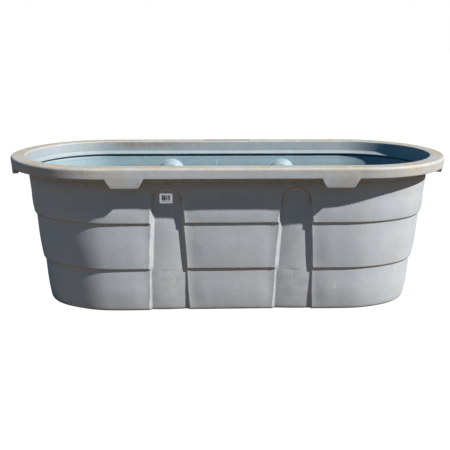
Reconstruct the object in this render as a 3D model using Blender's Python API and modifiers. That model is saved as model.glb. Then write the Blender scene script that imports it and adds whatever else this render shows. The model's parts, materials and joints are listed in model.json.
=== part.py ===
"""Oblong plastic livestock water trough: a stepped tub, a capping rim with hand tabs, and a screw drain.

Metres, +Z up. The origin is on the ground under the middle of the tub, +X runs along the trough, and the
drain is in the +Y side. Every wall is placed by its inset, the distance inwards from the rim's outer edge.
"""

import math

import bmesh
import bpy

# Rim outline: two straights joined by half ellipses.
HALF_LENGTH = 0.880
HALF_WIDTH = 0.340
END_LENGTH = 0.383
HEIGHT = 0.610
STRAIGHT = HALF_LENGTH - END_LENGTH
END_STEPS = 26
GAP = 0.0003

# Tub: outer wall as (inset, height), foot to lip. Each tier steps in over the one below it.
WALL = 0.0065
FLOOR = 0.008
BASE_INSET = 0.126
FOOT_RADIUS = 0.012
STEP_HEIGHT = 0.009
LOWER_STEP_Z = 0.189
UPPER_STEP_Z = 0.381
TIER_INSETS = ((0.106, 0.100), (0.083, 0.077))
SHOULDER_INSET = 0.0639
SHOULDER_Z = 0.545
LIP_FOOT = (0.0500, 0.5610)
LIP_TOP = (0.0465, 0.6000)
LIP_WALL = 0.0070

# Upright channels in both long sides, arched at the top. At each height, the inset and half width of the
# channel's floor, then those of its mouth in the wall.
CHANNEL_X = 0.2475
ARCH_Z = 0.469
ARCH_STEPS = 14
CHANNEL_SHAPE = (
    (-0.020, (0.1375, 0.0755), (0.1285, 0.0880)),
    (0.185, (0.1100, 0.0610), (0.1005, 0.0785)),
    (0.360, (0.0950, 0.0510), (0.0795, 0.0705)),
    (ARCH_Z, (0.0915, 0.0405), (0.0700, 0.0590)),
    (0.560, (0.0886, 0.0405), (0.0627, 0.0590)),
)

# Rim: top plate, outer skirt, and an inner leg whose foot overhangs the tub wall.
SKIRT_Z = 0.5686
RIM_WALL = 0.006
TOP_WALL = 0.008
RIM_WIDTH = 0.059
LEDGE_Z = 0.5663
NOSE_INSET = 0.0760
NOSE_Z = 0.5568
TAB_X = 0.400
TAB_HALF_TOP = 0.0720
TAB_HALF_BOTTOM = 0.0525
TAB_DEPTH = 0.024
TAB_WALL = 0.005
TAB_STEP = 0.0015
SIDE_TAB_LEAN = 0.004
END_TAB_LEAN = 0.0005
TAB_Z = 0.534
SEAT_HALF_LENGTH = 0.1015
SEAT_DEPTH = 0.035
SEAT_DROP = 0.008
SEAT_LIP = 0.005

# Drain: a bulkhead fitting through the flat floor of an alcove low in the +Y side.
DRAIN_Z = 0.058
ALCOVE_INSET = 0.155
ALCOVE_DEPTH = 0.045
ALCOVE_RADIUS = 0.052
ALCOVE_FLARE = 0.36
HOLE_RADIUS = 0.0240
SLEEVE_RADIUS = 0.0232
SLEEVE_LENGTH = 0.026
SLEEVE_FLANGE_RADIUS = 0.036
SLEEVE_FLANGE = 0.005
GASKET = 0.003
WASHER = 0.002
NUT_ACROSS_FLATS = 0.060
NUT_HEIGHT = 0.010
TURNED_STEPS = 24

# Threads: (root radius, crest radius, pitch, turns).
PLUG_THREAD = (0.0160, 0.0177, 0.0050, 3)
HOSE_THREAD = (0.0121, 0.0132, 0.0025, 3)
THREAD_CLEARANCE = 0.0005
THREAD_STEPS = 24
THREAD_BITE = 0.0008
PLUG_FLANGE_RADIUS = 0.0265
PLUG_FLANGE = 0.005
PLUG_SEAL = 0.0025
WING_SPAN = 0.058
WING_THICKNESS = 0.008
WING_HEIGHT = 0.017
SPIGOT_BORE = 0.0095
SPIGOT_LENGTH = 0.015
CAP_RADIUS = 0.0172
CAP_TOP = 0.003
CAP_SEAL = 0.002
CAP_LOBES = 12

# Sticker on the floor of the left front channel.
LABEL_SIZE = (0.049, 0.0004, 0.038)
LABEL_X = -0.2505
LABEL_Z = 0.475


def material(name, colour, roughness, metallic=0.0):
    """A Principled BSDF with one colour."""
    made = bpy.data.materials.new(name)
    made.use_nodes = True
    shader = made.node_tree.nodes["Principled BSDF"]
    shader.inputs["Base Color"].default_value = (*colour, 1.0)
    shader.inputs["Roughness"].default_value = roughness
    shader.inputs["Metallic"].default_value = metallic
    return made


def collection(name):
    made = bpy.data.collections.new(name)
    bpy.context.scene.collection.children.link(made)
    return made


def add_mesh(name, points, faces, into):
    """An object from points and faces, with its normals facing out."""
    mesh = bpy.data.meshes.new(name)
    mesh.from_pydata(points, [], faces)
    work = bmesh.new()
    work.from_mesh(mesh)
    bmesh.ops.recalc_face_normals(work, faces=work.faces)
    work.to_mesh(mesh)
    work.free()
    obj = bpy.data.objects.new(name, mesh)
    into.objects.link(obj)
    return obj


def finish(obj, look, smooth_angle=35.0):
    """Gives a piece its material and smooth shading."""
    obj.data.materials.append(look)
    obj.data.shade_smooth()
    obj.data.set_sharp_from_angle(angle=math.radians(smooth_angle))
    return obj


def as_cutter(obj):
    obj.hide_render = True
    obj.display_type = "WIRE"
    return obj


def boolean(obj, operation, other):
    """Cuts or joins obj with another object, or with all the objects of a collection."""
    modifier = obj.modifiers.new(operation.lower(), "BOOLEAN")
    modifier.operation = operation
    modifier.solver = "EXACT"
    if isinstance(other, bpy.types.Collection):
        modifier.operand_type = "COLLECTION"
        modifier.collection = other
    else:
        modifier.object = other


def applied(obj):
    """Replaces obj's mesh with its evaluated one, and clears the modifiers."""
    graph = bpy.context.evaluated_depsgraph_get()
    mesh = bpy.data.meshes.new_from_object(obj.evaluated_get(graph))
    obj.modifiers.clear()
    obj.data = mesh
    return obj


# ---------------------------------------------------------------- lofts round the trough


def outline_point(inset, along, end_turn=0.0, end=0):
    """A point of the outline. It is on a straight at x = along, or on an end, turned from the +X axis."""
    if not end:
        return along, HALF_WIDTH - inset
    x = STRAIGHT + (END_LENGTH - inset) * math.cos(end_turn)
    return end * x, (HALF_WIDTH - inset) * math.sin(end_turn)


def oval(inset, z):
    """The trough's outline at one inset and height."""
    ring = []
    for end, start in ((1, -math.pi / 2), (-1, math.pi / 2)):
        for i in range(END_STEPS + 1):
            turn = start + math.pi * i / END_STEPS * end
            x, y = outline_point(inset, 0.0, turn, end)
            ring.append((x, y, z))
    return ring


def loft(name, rings, into, closed=False, ladder=False):
    """A solid through equal rings. A closed one joins its last ring to its first, and the others are capped.

    A ladder's caps are strips between the ring's matching left and right points, so that they can bend.
    """
    count = len(rings[0])
    points = [point for ring in rings for point in ring]
    spans = len(rings) if closed else len(rings) - 1
    faces = []
    for row in range(spans):
        low = row * count
        high = (row + 1) % len(rings) * count
        for i in range(count):
            after = (i + 1) % count
            faces.append((low + i, low + after, high + after, high + i))
    for first in () if closed else (0, len(points) - count):
        last = first + count - 1
        if not ladder:
            faces.append(tuple(range(first, last + 1)))
            continue
        for i in range((count - 1) // 2):
            strip = (first + i, first + i + 1, last - i - 1, last - i)
            faces.append(tuple(dict.fromkeys(strip)))
    return add_mesh(name, points, faces, into)


def rounded(centre, radius, start, stop, steps):
    """Points of an arc in the inset-height plane, with angles in degrees."""
    return [
        (
            centre[0] + radius * math.cos(math.radians(start + (stop - start) * i / steps)),
            centre[1] + radius * math.sin(math.radians(start + (stop - start) * i / steps)),
        )
        for i in range(steps + 1)
    ]


def tub_profile():
    """The tub's outer wall as (inset, height), from the foot to the top of the lip."""
    (lower_in, lower_out), (upper_in, upper_out) = TIER_INSETS
    foot = rounded((BASE_INSET + FOOT_RADIUS, FOOT_RADIUS), FOOT_RADIUS, 270, 180, 3)
    tiers = [
        (lower_in, LOWER_STEP_Z - STEP_HEIGHT),
        (lower_out, LOWER_STEP_Z),
        (upper_in, UPPER_STEP_Z - STEP_HEIGHT),
        (upper_out, UPPER_STEP_Z),
        (SHOULDER_INSET, SHOULDER_Z),
    ]
    return foot + tiers + [LIP_FOOT, LIP_TOP]


def cavity_profile():
    """The inside of the tub, a wall's thickness in from the outside, from the floor to above the lip."""
    corner = (BASE_INSET + WALL + FOOT_RADIUS, FLOOR + FOOT_RADIUS)
    floor = rounded(corner, FOOT_RADIUS, 270, 180, 3)
    (lower_in, lower_out), (upper_in, upper_out) = TIER_INSETS
    walls = [
        (lower_in + WALL, LOWER_STEP_Z - STEP_HEIGHT),
        (lower_out + WALL, LOWER_STEP_Z),
        (upper_in + WALL, UPPER_STEP_Z - STEP_HEIGHT),
        (upper_out + WALL, UPPER_STEP_Z),
        (SHOULDER_INSET + WALL, SHOULDER_Z + WALL / 2),
        (LIP_FOOT[0] + LIP_WALL, LIP_FOOT[1] + WALL / 3),
        (LIP_TOP[0] + LIP_WALL, LIP_TOP[1]),
        (LIP_TOP[0] + LIP_WALL, LIP_TOP[1] + 0.02),
    ]
    return floor + walls


# ---------------------------------------------------------------- recesses in the long sides


def at_height(shape, z):
    """The shape's inset and half width at z, for the floor and for the mouth."""
    for low, high in zip(shape, shape[1:]):
        if z <= high[0]:
            break
    share = (z - low[0]) / (high[0] - low[0])
    return [
        [a + (b - a) * share for a, b in zip(first, second)] for first, second in zip(low[1:], high[1:])
    ]


def recess_cutter(name, shape, arch_z, centre_x, side, thickness, into, reach=0.030):
    """A plug that fills an arch-topped recess and reaches out of the wall.

    With a thickness, it is as large as the inside of the wall round the recess.
    """
    heights = [row[0] for row in shape if row[0] < arch_z]
    turns = [math.pi * i / ARCH_STEPS for i in range(ARCH_STEPS + 1)]
    rings = []
    for level in (0, 1, 2):
        ring = []
        for z in heights:
            (floor, inner), (mouth, outer) = at_height(shape, z)
            slope = (outer - inner) / (floor - mouth)
            grow = thickness * (math.hypot(1.0, slope) - slope)
            half = (inner, outer, outer)[level] + grow
            out = thickness + (floor, mouth, mouth - reach)[level]
            ring.append((-half, HALF_WIDTH - out, z))
        right = [(-x, y, z) for x, y, z in reversed(ring)]
        (floor, inner), (mouth, outer) = at_height(shape, arch_z)
        slope = (outer - inner) / (floor - mouth)
        radius = (inner, outer, outer)[level] + thickness * (math.hypot(1.0, slope) - slope)
        for turn in turns:
            z = arch_z + radius * math.sin(turn)
            (floor, inner), (mouth, outer) = at_height(shape, z)
            out = thickness + (floor, mouth, mouth - reach)[level]
            ring.append((-radius * math.cos(turn), HALF_WIDTH - out, z))
        ring += right
        rings.append([(centre_x + x, side * y, z) for x, y, z in ring])
    return as_cutter(loft(name, rings, into, ladder=True))


def channel_cutters(into, thickness):
    for side in (-1, 1):
        for x in (-CHANNEL_X, CHANNEL_X):
            recess_cutter("channel_cutter", CHANNEL_SHAPE, ARCH_Z, x, side, thickness, into)


def alcove_cutter(into, thickness):
    """The drain's alcove, whose floor is upright so that the gaskets seat flat."""
    floor = (ALCOVE_INSET, ALCOVE_RADIUS)
    mouth = (ALCOVE_INSET - ALCOVE_DEPTH, ALCOVE_RADIUS + ALCOVE_DEPTH * ALCOVE_FLARE)
    shape = [(z, floor, mouth) for z in (-0.02, DRAIN_Z, 0.3)]
    recess_cutter("alcove_cutter", shape, DRAIN_Z, 0.0, 1, thickness, into)


def make_tub(parts, cutters, look):
    """The moulded tub: floor, three stepped tiers, four channels, drain alcove and upright lip."""
    outside = collection("recess_cutters")
    inside = collection("recess_cutters_inside")
    for into, thickness in ((outside, 0.0), (inside, WALL)):
        channel_cutters(into, thickness)
        alcove_cutter(into, thickness)
    cavity = as_cutter(loft("cavity", [oval(*p) for p in cavity_profile()], cutters))
    boolean(cavity, "DIFFERENCE", inside)
    bpy.ops.mesh.primitive_cylinder_add(
        vertices=TURNED_STEPS,
        radius=HOLE_RADIUS,
        depth=0.06,
        location=(0.0, HALF_WIDTH - ALCOVE_INSET, DRAIN_Z),
        rotation=(math.pi / 2, 0.0, 0.0),
    )
    hole = as_cutter(moved_to(bpy.context.object, "drain_hole", cutters))
    tub = loft("tub_shell", [oval(*p) for p in tub_profile()], parts)
    boolean(tub, "DIFFERENCE", outside)
    boolean(tub, "DIFFERENCE", cavity)
    boolean(tub, "DIFFERENCE", hole)
    return finish(tub, look)


# ---------------------------------------------------------------- rim


def rim_profile():
    """The rim's section as a closed loop of (inset, height)."""
    corner = 0.008
    outside = [(0.0, SKIRT_Z)] + rounded((corner, HEIGHT - corner), corner, 180, 90, 4)
    inner_corner = (RIM_WIDTH - corner / 2, HEIGHT - corner / 2)
    leg = rounded(inner_corner, corner / 2, 90, 0, 3) + [(RIM_WIDTH + 0.004, LEDGE_Z)]
    nose = [
        (NOSE_INSET - 0.0008, NOSE_Z + 0.0022),
        (NOSE_INSET, NOSE_Z),
        (NOSE_INSET - 0.0015, NOSE_Z - 0.0022),
    ]
    ledge_in = (SHOULDER_INSET + WALL, SHOULDER_Z + WALL / 2 + 2 * GAP)
    seat = [
        (ledge_in[0] + 0.0006, ledge_in[1] + 0.0006),
        (LIP_FOOT[0] + LIP_WALL + GAP, LIP_FOOT[1] + WALL / 3 + 2 * GAP),
        (LIP_TOP[0] + LIP_WALL + 2 * GAP, HEIGHT - TOP_WALL),
    ]
    hollow = [(RIM_WALL, HEIGHT - TOP_WALL), (RIM_WALL, SKIRT_Z)]
    return outside + leg + nose + seat + hollow


def tab_block(name, centre, widths, insets, heights, into):
    """A trapezoid block that follows the rim. centre is (end, x); widths and outer insets are top, bottom."""
    end, x = centre
    steps = 8 if end else 1
    (top_inset, bottom_inset), inner_inset = insets
    columns = []
    for i in range(steps + 1):
        share = 2 * i / steps - 1
        column = []
        for half, z, inset in (
            (widths[0], heights[1], top_inset),
            (widths[0], heights[1], inner_inset),
            (widths[1], heights[0], inner_inset),
            (widths[1], heights[0], bottom_inset),
        ):
            offset = share * half
            turn = math.asin(offset / HALF_WIDTH)
            px, py = outline_point(inset, abs(x) + offset, turn, abs(end))
            column.append((math.copysign(1, end or x) * px, py, z))
        columns.append(column)
    return loft(name, columns, into)


def make_rim(parts, cutters, look):
    """The capping rim, with six hand tabs on its skirt and a seat for a float valve in the +Y side."""
    rim = loft("rim_ring", [oval(*p) for p in rim_profile()], parts, closed=True)
    places = [(end, 0.0, 1) for end in (-1, 1)]
    places += [(0, x, side) for x in (-TAB_X, TAB_X) for side in (-1, 1)]
    solids = collection("tab_solids")
    hollows = collection("tab_hollows")
    for end, x, side in places:
        lean = END_TAB_LEAN if end else SIDE_TAB_LEAN
        solid = tab_block(
            "tab_solid",
            (end, x),
            (TAB_HALF_TOP, TAB_HALF_BOTTOM),
            ((TAB_STEP, TAB_STEP + lean), TAB_DEPTH),
            (TAB_Z, SKIRT_Z + 0.003),
            solids,
        )
        hollow = tab_block(
            "tab_hollow",
            (end, x),
            (TAB_HALF_TOP - TAB_WALL, TAB_HALF_BOTTOM - TAB_WALL),
            ((RIM_WALL + TAB_STEP, RIM_WALL + TAB_STEP + lean), TAB_DEPTH + 0.01),
            (TAB_Z + TAB_WALL, SKIRT_Z + 0.010),
            hollows,
        )
        for obj in (solid, hollow):
            if side < 0:
                mirror_y(obj)
            as_cutter(obj)
    seat_z = HEIGHT - SEAT_DROP
    pad_span = (-SEAT_HALF_LENGTH - RIM_WALL, SEAT_HALF_LENGTH + RIM_WALL)
    pad_reach = (HALF_WIDTH - SEAT_DEPTH - RIM_WALL, HALF_WIDTH - RIM_WALL / 2)
    pad = box("seat_pad", pad_span, pad_reach, (seat_z - RIM_WALL, HEIGHT - TOP_WALL / 2), cutters)
    reach = (HALF_WIDTH - SEAT_DEPTH, HALF_WIDTH - SEAT_LIP)
    span = (-SEAT_HALF_LENGTH, SEAT_HALF_LENGTH)
    seat = box("valve_seat", span, reach, (seat_z, HEIGHT + 0.01), cutters)
    boolean(rim, "UNION", as_cutter(pad))
    boolean(rim, "DIFFERENCE", as_cutter(seat))
    boolean(rim, "UNION", solids)
    boolean(rim, "DIFFERENCE", hollows)
    return finish(rim, look)


# ---------------------------------------------------------------- simple shapes


def moved_to(obj, name, into):
    """Renames a primitive and puts it in a collection of its own."""
    obj.name = name
    obj.data.name = name
    for old in list(obj.users_collection):
        old.objects.unlink(obj)
    into.objects.link(obj)
    return obj


def mirror_y(obj):
    """Turns a mesh to the other side of the trough, and turns its faces back out."""
    for vertex in obj.data.vertices:
        vertex.co.y = -vertex.co.y
    obj.data.flip_normals()


def box(name, xs, ys, zs, into):
    """A box between two values on each axis."""
    bpy.ops.mesh.primitive_cube_add(size=1.0)
    obj = moved_to(bpy.context.object, name, into)
    spans = (xs, ys, zs)
    for vertex in obj.data.vertices:
        for axis, (low, high) in enumerate(spans):
            vertex.co[axis] = high if vertex.co[axis] > 0 else low
    return obj


def turned(name, profile, into, steps=TURNED_STEPS):
    """A solid of revolution about Z from a closed (radius, z) loop that runs down its outer side."""
    mesh = bpy.data.meshes.new(name)
    points = [(radius, 0.0, z) for radius, z in profile]
    on_axis = profile[0][0] == 0.0 and profile[-1][0] == 0.0
    edges = [(i, i + 1) for i in range(len(points) - 1)]
    if not on_axis:
        edges.append((len(points) - 1, 0))
    mesh.from_pydata(points, edges, [])
    obj = bpy.data.objects.new(name, mesh)
    into.objects.link(obj)
    screw = obj.modifiers.new("turn", "SCREW")
    screw.steps = steps
    screw.render_steps = steps
    screw.use_merge_vertices = True
    screw.merge_threshold = 0.00001
    return applied(obj)


def ring_profile(inner, outer, low, high):
    return [(inner, high), (outer, high), (outer, low), (inner, low)]


def thread_ridge(name, thread, start_z, into, clearance=0.0, extra_turns=0):
    """One helical ridge about Z, with its root buried in the core, closed at both ends."""
    root, crest, pitch, turns = thread
    bite = root - THREAD_BITE
    half_root = pitch * 0.36 + clearance
    half_crest = pitch * 0.16 + clearance
    profile = [
        (bite, half_root),
        (crest + clearance, half_crest),
        (crest + clearance, -half_crest),
        (bite, -half_root),
    ]
    mesh = bpy.data.meshes.new(name)
    points = [(radius, 0.0, start_z + z) for radius, z in profile]
    mesh.from_pydata(points, [(0, 1), (1, 2), (2, 3), (3, 0)], [])
    obj = bpy.data.objects.new(name, mesh)
    into.objects.link(obj)
    screw = obj.modifiers.new("helix", "SCREW")
    screw.screw_offset = pitch
    screw.iterations = turns + extra_turns
    screw.steps = THREAD_STEPS
    screw.render_steps = THREAD_STEPS
    applied(obj)
    work = bmesh.new()
    work.from_mesh(obj.data)
    bmesh.ops.holes_fill(work, edges=work.edges, sides=len(profile))
    bmesh.ops.recalc_face_normals(work, faces=work.faces)
    work.to_mesh(obj.data)
    work.free()
    return as_cutter(obj)


# ---------------------------------------------------------------- drain


def make_fitting(parts, cutters, empty, look):
    """The bulkhead sleeve. Its flange is inside the tub, and the plug screws into its outer end."""
    inner_face = -WALL - GASKET - 2 * GAP
    bore = PLUG_THREAD[0] + THREAD_CLEARANCE
    profile = [
        (bore, SLEEVE_LENGTH),
        (SLEEVE_RADIUS, SLEEVE_LENGTH),
        (SLEEVE_RADIUS, inner_face),
        (SLEEVE_FLANGE_RADIUS, inner_face),
        (SLEEVE_FLANGE_RADIUS, inner_face - SLEEVE_FLANGE),
        (bore, inner_face - SLEEVE_FLANGE),
    ]
    sleeve = turned("drain_sleeve", profile, parts)
    groove_start = plug_thread_start() - PLUG_THREAD[2]
    groove = thread_ridge(
        "sleeve_groove", PLUG_THREAD, groove_start, cutters, THREAD_CLEARANCE, extra_turns=3
    )
    boolean(sleeve, "DIFFERENCE", groove)
    place(applied(sleeve), empty)
    finish(sleeve, look)
    groove.parent = empty


def plug_thread_start():
    """Height of the first turn of the plug's thread, above the alcove's floor."""
    pitch, turns = PLUG_THREAD[2:]
    return SLEEVE_LENGTH - 0.002 - pitch * (turns + 0.5)


def place(obj, empty):
    """Hangs a piece modelled about Z on the drain's axis."""
    obj.parent = empty
    return obj


def make_seals(parts, empty, look):
    """The flat rings: under the sleeve's flange, under the nut, under the plug and inside the hose cap."""
    fit = SLEEVE_RADIUS + GAP
    seat = SLEEVE_LENGTH + GAP
    cap_seat = cap_seat_z()
    spigot = HOSE_THREAD[0]
    rings = (
        ("inner_gasket", fit, 0.035, -WALL - GASKET - GAP, -WALL - GAP),
        ("outer_washer", fit, 0.034, GAP, GAP + WASHER),
        ("plug_gasket", PLUG_THREAD[1] + 0.0008, 0.0258, seat, seat + PLUG_SEAL),
        ("hose_cap_washer", SPIGOT_BORE, spigot, cap_seat + GAP, cap_seat + GAP + CAP_SEAL),
    )
    for name, inner, outer, low, high in rings:
        ring = turned(name, ring_profile(inner, outer, low, high), parts)
        place(finish(ring, look), empty)


def make_nut(parts, cutters, empty, look):
    """The hexagonal nut that clamps the sleeve to the wall."""
    low = 2 * GAP + WASHER
    bpy.ops.mesh.primitive_cylinder_add(
        vertices=6,
        radius=NUT_ACROSS_FLATS / 2 / math.cos(math.pi / 6),
        depth=NUT_HEIGHT,
        location=(0.0, 0.0, low + NUT_HEIGHT / 2),
    )
    nut = moved_to(bpy.context.object, "drain_locknut", parts)
    bevel = nut.modifiers.new("worn_corners", "BEVEL")
    bevel.width = 0.0015
    bevel.segments = 1
    bore = turned(
        "nut_bore", [(0.0, 0.05), (SLEEVE_RADIUS + GAP, 0.05), (SLEEVE_RADIUS + GAP, -0.05), (0.0, -0.05)], cutters
    )
    bore.parent = nut
    bore.matrix_parent_inverse.identity()
    boolean(nut, "DIFFERENCE", as_cutter(bore))
    place(nut, empty)
    finish(nut, look, smooth_angle=20.0)


def plug_flange_z():
    return SLEEVE_LENGTH + 2 * GAP + PLUG_SEAL


def cap_seat_z():
    """Height of the end of the hose spigot, where the cap's washer seals."""
    return plug_flange_z() + PLUG_FLANGE + SPIGOT_LENGTH


def make_plug(parts, cutters, empty, look):
    """The drain plug: threaded shank, flange, two finger wings and a threaded hose spigot, bored through."""
    root = PLUG_THREAD[0]
    flange = plug_flange_z()
    shoulder = flange + PLUG_FLANGE
    inner_end = plug_thread_start() - PLUG_THREAD[2] * 0.5
    profile = [
        (SPIGOT_BORE, cap_seat_z()),
        (HOSE_THREAD[0], cap_seat_z()),
        (HOSE_THREAD[0], shoulder + 0.001),
        (root, shoulder),
        (PLUG_FLANGE_RADIUS, shoulder),
        (PLUG_FLANGE_RADIUS, flange),
        (root, flange),
        (root, inner_end),
        (SPIGOT_BORE, inner_end),
    ]
    plug = turned("drain_plug", profile, parts)
    shank = thread_ridge("plug_ridge", PLUG_THREAD, plug_thread_start(), cutters)
    hose = thread_ridge("hose_ridge", HOSE_THREAD, hose_thread_start(), cutters)
    boolean(plug, "UNION", shank)
    boolean(plug, "UNION", hose)
    for side in (-1, 1):
        near, far = sorted((side * (CAP_RADIUS + 0.0025), side * WING_SPAN / 2))
        span = (-WING_THICKNESS / 2, WING_THICKNESS / 2)
        wing = box("wing", (near, far), span, (shoulder - 0.002, shoulder + WING_HEIGHT), cutters)
        boolean(plug, "UNION", as_cutter(wing))
    applied(plug)
    place(plug, empty)
    finish(plug, look)


def hose_thread_start():
    """Height of the first turn of the hose thread."""
    pitch, turns = HOSE_THREAD[2:]
    return cap_seat_z() - 0.0015 - pitch * (turns + 0.5)


def make_hose_cap(parts, cutters, empty, look):
    """The small lobed cap that closes the hose spigot."""
    low = plug_flange_z() + PLUG_FLANGE + 0.0012
    high = cap_seat_z() + 2 * GAP + CAP_SEAL + CAP_TOP
    bore = HOSE_THREAD[0] + THREAD_CLEARANCE
    steps = CAP_LOBES * 6
    rings = []
    for z, shrink in ((low, 0.0), (high - 0.0015, 0.0), (high, 0.0015)):
        ring = []
        for i in range(steps):
            turn = 2 * math.pi * i / steps
            radius = CAP_RADIUS - shrink + 0.0006 * math.cos(CAP_LOBES * turn)
            ring.append((radius * math.cos(turn), radius * math.sin(turn), z))
        rings.append(ring)
    cap = loft("hose_cap", rings, parts)
    hollow = high - CAP_TOP
    inside = turned("cap_bore", [(0.0, hollow), (bore, hollow), (bore, low - 0.01), (0.0, low - 0.01)], cutters)
    groove_start = hose_thread_start() - HOSE_THREAD[2] * 3
    groove = thread_ridge(
        "cap_groove", HOSE_THREAD, groove_start, cutters, THREAD_CLEARANCE * 0.8, extra_turns=3
    )
    boolean(cap, "DIFFERENCE", as_cutter(inside))
    boolean(cap, "DIFFERENCE", groove)
    applied(cap)
    place(cap, empty)
    finish(cap, look)


def make_drain(parts, cutters, looks):
    """Everything on the drain's axis. Its empty stands on the alcove's floor, with its Z pointing out."""
    empty = bpy.data.objects.new("drain_axis", None)
    parts.objects.link(empty)
    empty.location = (0.0, HALF_WIDTH - ALCOVE_INSET, DRAIN_Z)
    empty.rotation_euler = (-math.pi / 2, 0.0, 0.0)
    make_fitting(parts, cutters, empty, looks["black"])
    make_nut(parts, cutters, empty, looks["black"])
    make_seals(parts, empty, looks["rubber"])
    make_plug(parts, cutters, empty, looks["black"])
    make_hose_cap(parts, cutters, empty, looks["black"])


def make_label(parts, look):
    """The stock sticker, flat on the leaning floor of the left front channel."""
    (_, (low, _), _), (_, (high, _), _) = CHANNEL_SHAPE[-2:]
    tilt = math.atan((low - high) / (CHANNEL_SHAPE[-1][0] - ARCH_Z))
    stand_off = LABEL_SIZE[1] / 2 + 2 * GAP
    floor_y = -(HALF_WIDTH - at_height(CHANNEL_SHAPE, LABEL_Z)[0][0])
    halves = [(-size / 2, size / 2) for size in LABEL_SIZE]
    label = box("stock_label", *halves, parts)
    label.rotation_euler = (tilt, 0.0, 0.0)
    label.location = (LABEL_X, floor_y - stand_off, LABEL_Z)
    finish(label, look)


def main():
    for obj in list(bpy.data.objects):
        bpy.data.objects.remove(obj)
    looks = {
        "grey": material("grey_polyethylene", (0.33, 0.35, 0.37), 0.55),
        "black": material("black_nylon", (0.02, 0.02, 0.022), 0.45),
        "rubber": material("black_rubber", (0.03, 0.03, 0.03), 0.8),
        "paper": material("white_vinyl", (0.8, 0.8, 0.8), 0.4),
    }
    parts = collection("water_trough")
    cutters = collection("cutters")
    make_tub(parts, cutters, looks["grey"])
    make_rim(parts, cutters, looks["grey"])
    make_drain(parts, cutters, looks)
    make_label(parts, looks["paper"])


main()
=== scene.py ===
"""Looks of the livestock water trough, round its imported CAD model.

The tub and the rim are dense skins: rows of points that run round the trough, where a point's place is its inset
from the rim's outer edge and its height. The drain's pieces are dense turned skins. The materials are procedural,
and some of their masks are point attributes that are worked out with the shapes.
"""

import json
import math

import bmesh
import bpy
import numpy as np
from mathutils import Matrix, Vector


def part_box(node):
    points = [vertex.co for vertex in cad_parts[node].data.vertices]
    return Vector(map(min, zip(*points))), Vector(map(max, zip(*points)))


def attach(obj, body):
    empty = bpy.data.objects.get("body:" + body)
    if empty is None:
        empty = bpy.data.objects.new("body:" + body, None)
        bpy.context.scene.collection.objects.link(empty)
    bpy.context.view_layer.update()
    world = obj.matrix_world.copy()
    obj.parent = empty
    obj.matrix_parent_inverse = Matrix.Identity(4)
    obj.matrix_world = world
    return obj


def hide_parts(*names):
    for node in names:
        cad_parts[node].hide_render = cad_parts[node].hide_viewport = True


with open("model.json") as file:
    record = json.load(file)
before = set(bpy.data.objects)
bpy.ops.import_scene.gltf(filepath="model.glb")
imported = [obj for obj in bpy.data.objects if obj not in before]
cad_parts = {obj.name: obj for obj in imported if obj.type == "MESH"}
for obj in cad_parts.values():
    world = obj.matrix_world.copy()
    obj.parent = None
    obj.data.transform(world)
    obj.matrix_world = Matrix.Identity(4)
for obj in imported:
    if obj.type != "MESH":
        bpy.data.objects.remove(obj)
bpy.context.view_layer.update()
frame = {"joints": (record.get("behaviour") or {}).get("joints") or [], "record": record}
JOINTS = {joint["name"]: joint for joint in frame["joints"]}
NODE_BODY = {node: body for body, nodes in frame["record"]["behaviour"]["bodies"].items() for node in nodes}

# ---------------------------------------------------------------- dimensions

HALF_LENGTH, HALF_WIDTH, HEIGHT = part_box("rim_ring")[1]
TAB_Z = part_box("rim_ring")[0].z
LIP_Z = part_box("tub_shell")[1].z
DRAIN = Vector(JOINTS["plug_turn"]["pos_m"])
# The ends are half ellipses, this long at inset 0.
END_LENGTH = 0.383
STRAIGHT = HALF_LENGTH - END_LENGTH

WALL = 0.0065
FLOOR = 0.008
FOOT_RADIUS = 0.012
LIP_ROUNDING = 0.0035
# Insets of the two innermost rows of the underside and the floor.
FLAT_INSET = 0.205
MIDDLE_INSET = 0.30

# Outer and inner wall as (height, inset), foot to lip.
WALL_LINE = (
    (0.000, 0.126),
    (0.180, 0.1078),
    (0.189, 0.100),
    (0.372, 0.0848),
    (0.381, 0.077),
    (0.545, 0.0650),
    (0.561, 0.0500),
    (0.620, 0.0451),
)
INNER_LINE = (
    (0.000, 0.1325),
    (0.180, 0.1125),
    (0.189, 0.1065),
    (0.372, 0.0895),
    (0.381, 0.0835),
    (0.5475, 0.0702),
    (0.5485, 0.0590),
    (0.563, 0.0570),
    (0.620, 0.0520),
)
STEPS_Z = (0.1845, 0.3765)
# Where each tier's belly starts and ends, and how far it comes out.
TIERS = (
    (0.000, 0.180, 0.0088),
    (0.189, 0.372, 0.0069),
    (0.381, 0.470, 0.0044),
)
# Height, and how far the middle of each long side pillows out there.
PILLOW_LINE = (
    (0.000, 0.0000),
    (0.090, 0.0022),
    (0.186, 0.0028),
    (0.280, 0.0040),
    (0.375, 0.0024),
    (0.460, 0.0000),
)

CHANNEL_X = 0.2475
ARCH_Z = 0.469
# Height, floor inset, floor half width, mouth inset, mouth half width.
CHANNEL = np.array(
    (
        (-0.020, 0.1365, 0.0715, 0.1283, 0.0810),
        (0.035, 0.1291, 0.0704, 0.1221, 0.0785),
        (0.090, 0.1220, 0.0692, 0.1160, 0.0754),
        (0.178, 0.1108, 0.0680, 0.1062, 0.0738),
        (0.192, 0.1096, 0.0604, 0.0997, 0.0732),
        (0.235, 0.1068, 0.0586, 0.0957, 0.0718),
        (0.305, 0.1010, 0.0550, 0.0892, 0.0680),
        (0.383, 0.0943, 0.0500, 0.0768, 0.0664),
        (ARCH_Z, 0.0915, 0.0405, 0.0700, 0.0590),
        (0.560, 0.0886, 0.0405, 0.0627, 0.0590),
    )
)
# How far the channels' feet lie to the right of their arches.
CHANNEL_DRIFT = 0.0022
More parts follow.
